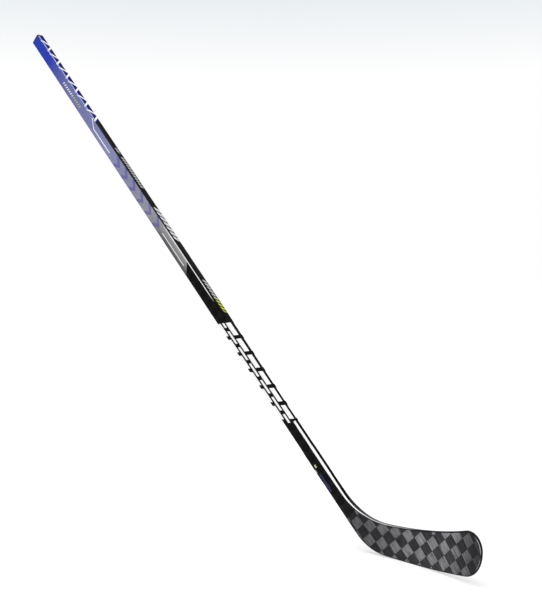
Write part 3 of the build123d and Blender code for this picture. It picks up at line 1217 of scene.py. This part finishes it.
def make_camera():
    data = bpy.data.cameras.new("camera")
    data.lens = CAMERA_LENS
    data.sensor_width = SENSOR
    camera = add_object("camera", data)
    level = Vector((math.sin(CAMERA_YAW), math.cos(CAMERA_YAW), 0))
    forward = level * math.cos(CAMERA_PITCH) + Vector((0, 0, math.sin(CAMERA_PITCH)))
    right = forward.cross(Vector((0, 0, 1))).normalized()
    up = right.cross(forward)
    tilted_right = right * math.cos(CAMERA_ROLL) + up * math.sin(CAMERA_ROLL)
    tilted_up = up * math.cos(CAMERA_ROLL) - right * math.sin(CAMERA_ROLL)
    turn = Matrix((tilted_right, tilted_up, -forward)).transposed()
    camera.matrix_world = Matrix.Translation(CAMERA_PLACE) @ turn.to_4x4()
    bpy.context.scene.camera = camera


def make_floor():
    mesh = bpy.data.meshes.new("studio_floor")
    builder = bmesh.new()
    bmesh.ops.create_grid(builder, x_segments=1, y_segments=1, size=FLOOR_SIZE)
    builder.to_mesh(mesh)
    builder.free()
    paint = Paint("pale_floor")
    cloud = paint.noise(0.7, 2.0)
    paint.colour(paint.mix(cloud, linear(186, 186, 187), linear(189, 189, 190)))
    paint.rough(cloud * 0.1 + 0.85)
    # Light of its own keeps the shadow as faint as on the photograph's lit paper
    paint.shader.inputs["Emission Color"].default_value = (*STUDIO_WHITE, 1.0)
    paint.shader.inputs["Emission Strength"].default_value = FLOOR_GLOW
    paint.gloss(0.0)
    mesh.materials.append(paint.material)
    floor = add_object("studio_floor", mesh)


def make_sky():
    """A white studio, a little grey high up, whose light on the object is softer than it looks."""
    world = bpy.data.worlds.new("studio")
    bpy.context.scene.world = world
    world.use_nodes = True
    tree = world.node_tree
    backdrop = tree.nodes["Background"]
    place = add_node(tree, "ShaderNodeTexCoord")
    split = add_node(tree, "ShaderNodeSeparateXYZ", Vector=place.outputs["Generated"])
    ramp = add_node(tree, "ShaderNodeValToRGB", Fac=split.outputs["Z"])
    stops = ((SKY_WHITE_END, STUDIO_WHITE), (SKY_GREY_START, SKY_GREY))
    for element, (position, colour) in zip(ramp.color_ramp.elements, stops):
        element.position = position
        element.color = (*colour, 1.0)
    feed(tree, backdrop.inputs["Color"], ramp.outputs["Color"])
    feed(tree, backdrop.inputs["Strength"], 1.0)
    soft = add_node(tree, "ShaderNodeBackground", Color=STUDIO_WHITE, Strength=SOFT_LIGHT)
    path = add_node(tree, "ShaderNodeLightPath")
    mix = add_node(tree, "ShaderNodeMixShader", Fac=path.outputs["Is Camera Ray"])
    feed(tree, mix.inputs[1], soft.outputs[0])
    feed(tree, mix.inputs[2], backdrop.outputs[0])
    feed(tree, tree.nodes["World Output"].inputs["Surface"], mix.outputs[0])


def make_light(name, place, target):
    data = bpy.data.lights.new(name, "AREA")
    data.shape = "RECTANGLE"
    data.size = LAMP_SIZE
    data.size_y = LAMP_SIZE
    data.energy = LAMP_POWER
    light = add_object(name, data)
    light.location = place
    aim = Vector(target) - Vector(place)
    light.rotation_euler = aim.to_track_quat("-Z", "Y").to_euler()


def make_sun():
    data = bpy.data.lights.new("ceiling", "SUN")
    data.energy = CEILING_POWER
    data.angle = CEILING_SPREAD
    add_object("ceiling", data).rotation_euler = CEILING_TILT


# ---- Build

bpy.context.scene.view_settings.view_transform = "Standard"

make_camera()
make_floor()
make_sky()
make_sun()
make_light("key", (1.6, -1.6, 2.2), (-0.2, 0, 0.3))
make_light("back", (-1.5, 2.4, 1.8), (-0.3, 0, 0.4))

EDGE_TONES = (linear(20, 20, 22), linear(44, 44, 47))
TOE_TONES = (linear(18, 18, 20), linear(34, 34, 36))
RIB_TONES = (linear(24, 24, 26), linear(60, 60, 63))
PLUG_TONES = (linear(50, 51, 56), linear(72, 73, 78))
ELASTOMER_TONES = (linear(40, 40, 42), linear(58, 58, 60))
WHITE_FOAM_TONES = (linear(222, 220, 210), linear(246, 244, 236))
GREY_FOAM_TONES = (linear(70, 72, 76), linear(110, 112, 116))
NECK_FOAM_TONES = (linear(206, 190, 150), linear(236, 222, 184))
HEEL_FOAM_TONES = (linear(196, 176, 130), linear(230, 212, 170))

lacquer = shaft_paint()
neck_lacquer = neck_paint("neck_lacquer", 0.26, 0.42)
wrap_lacquer = neck_paint("overwrap_lacquer", 0.30, 0.46)
weave = blade_paint()
edge_black = edge_paint("edge_laminate", *EDGE_TONES, 0.26, 0.42)
top_black = edge_paint("striped_edge", *EDGE_TONES, 0.26, 0.42, striped=True)
toe_black = edge_paint("toe_wrap", *TOE_TONES, 0.34, 0.5)
plug_grey = rubber_paint("plug_rubber", *PLUG_TONES)

make_shaft(lacquer)
make_plug(plug_grey)
make_skin("forehand_weave", "forehand_skin", -1, weave)
make_skin("backhand_weave", "backhand_skin", 1, weave)
sole_run, toe_run, top_run = split_outline()
make_strip("sole_edge", "sole_edge_strip", sole_run, edge_black, "edge_laminate")
make_strip("toe_edge", "toe_edge_wrap", toe_run, toe_black, "toe_rubber")
make_strip("top_edge", "top_edge_strip", top_run, top_black, "edge_laminate")

white_foam = foam_paint("blade_foam", *WHITE_FOAM_TONES, 0.9 * MM)
carried_over = {
    "hosel": neck_lacquer,
    "hosel_overwrap": wrap_lacquer,
    "damping_foam": foam_paint("grey_foam", *GREY_FOAM_TONES, 1.2 * MM),
    "neck_core": foam_paint("neck_foam", *NECK_FOAM_TONES, 0.8 * MM),
    "tenon_adhesive": resin_paint(),
    "heel_core": foam_paint("heel_foam", *HEEL_FOAM_TONES, 0.7 * MM),
    "upper_core": white_foam,
    "lower_core": white_foam,
    "bridge_rib": edge_paint("rib", *RIB_TONES, 0.35, 0.5),
    "toe_core": rubber_paint("toe_elastomer", *ELASTOMER_TONES),
}
for node_name, material in carried_over.items():
    node_object = nodes[node_name]
    node_object.data.materials.clear()
    node_object.data.materials.append(material)
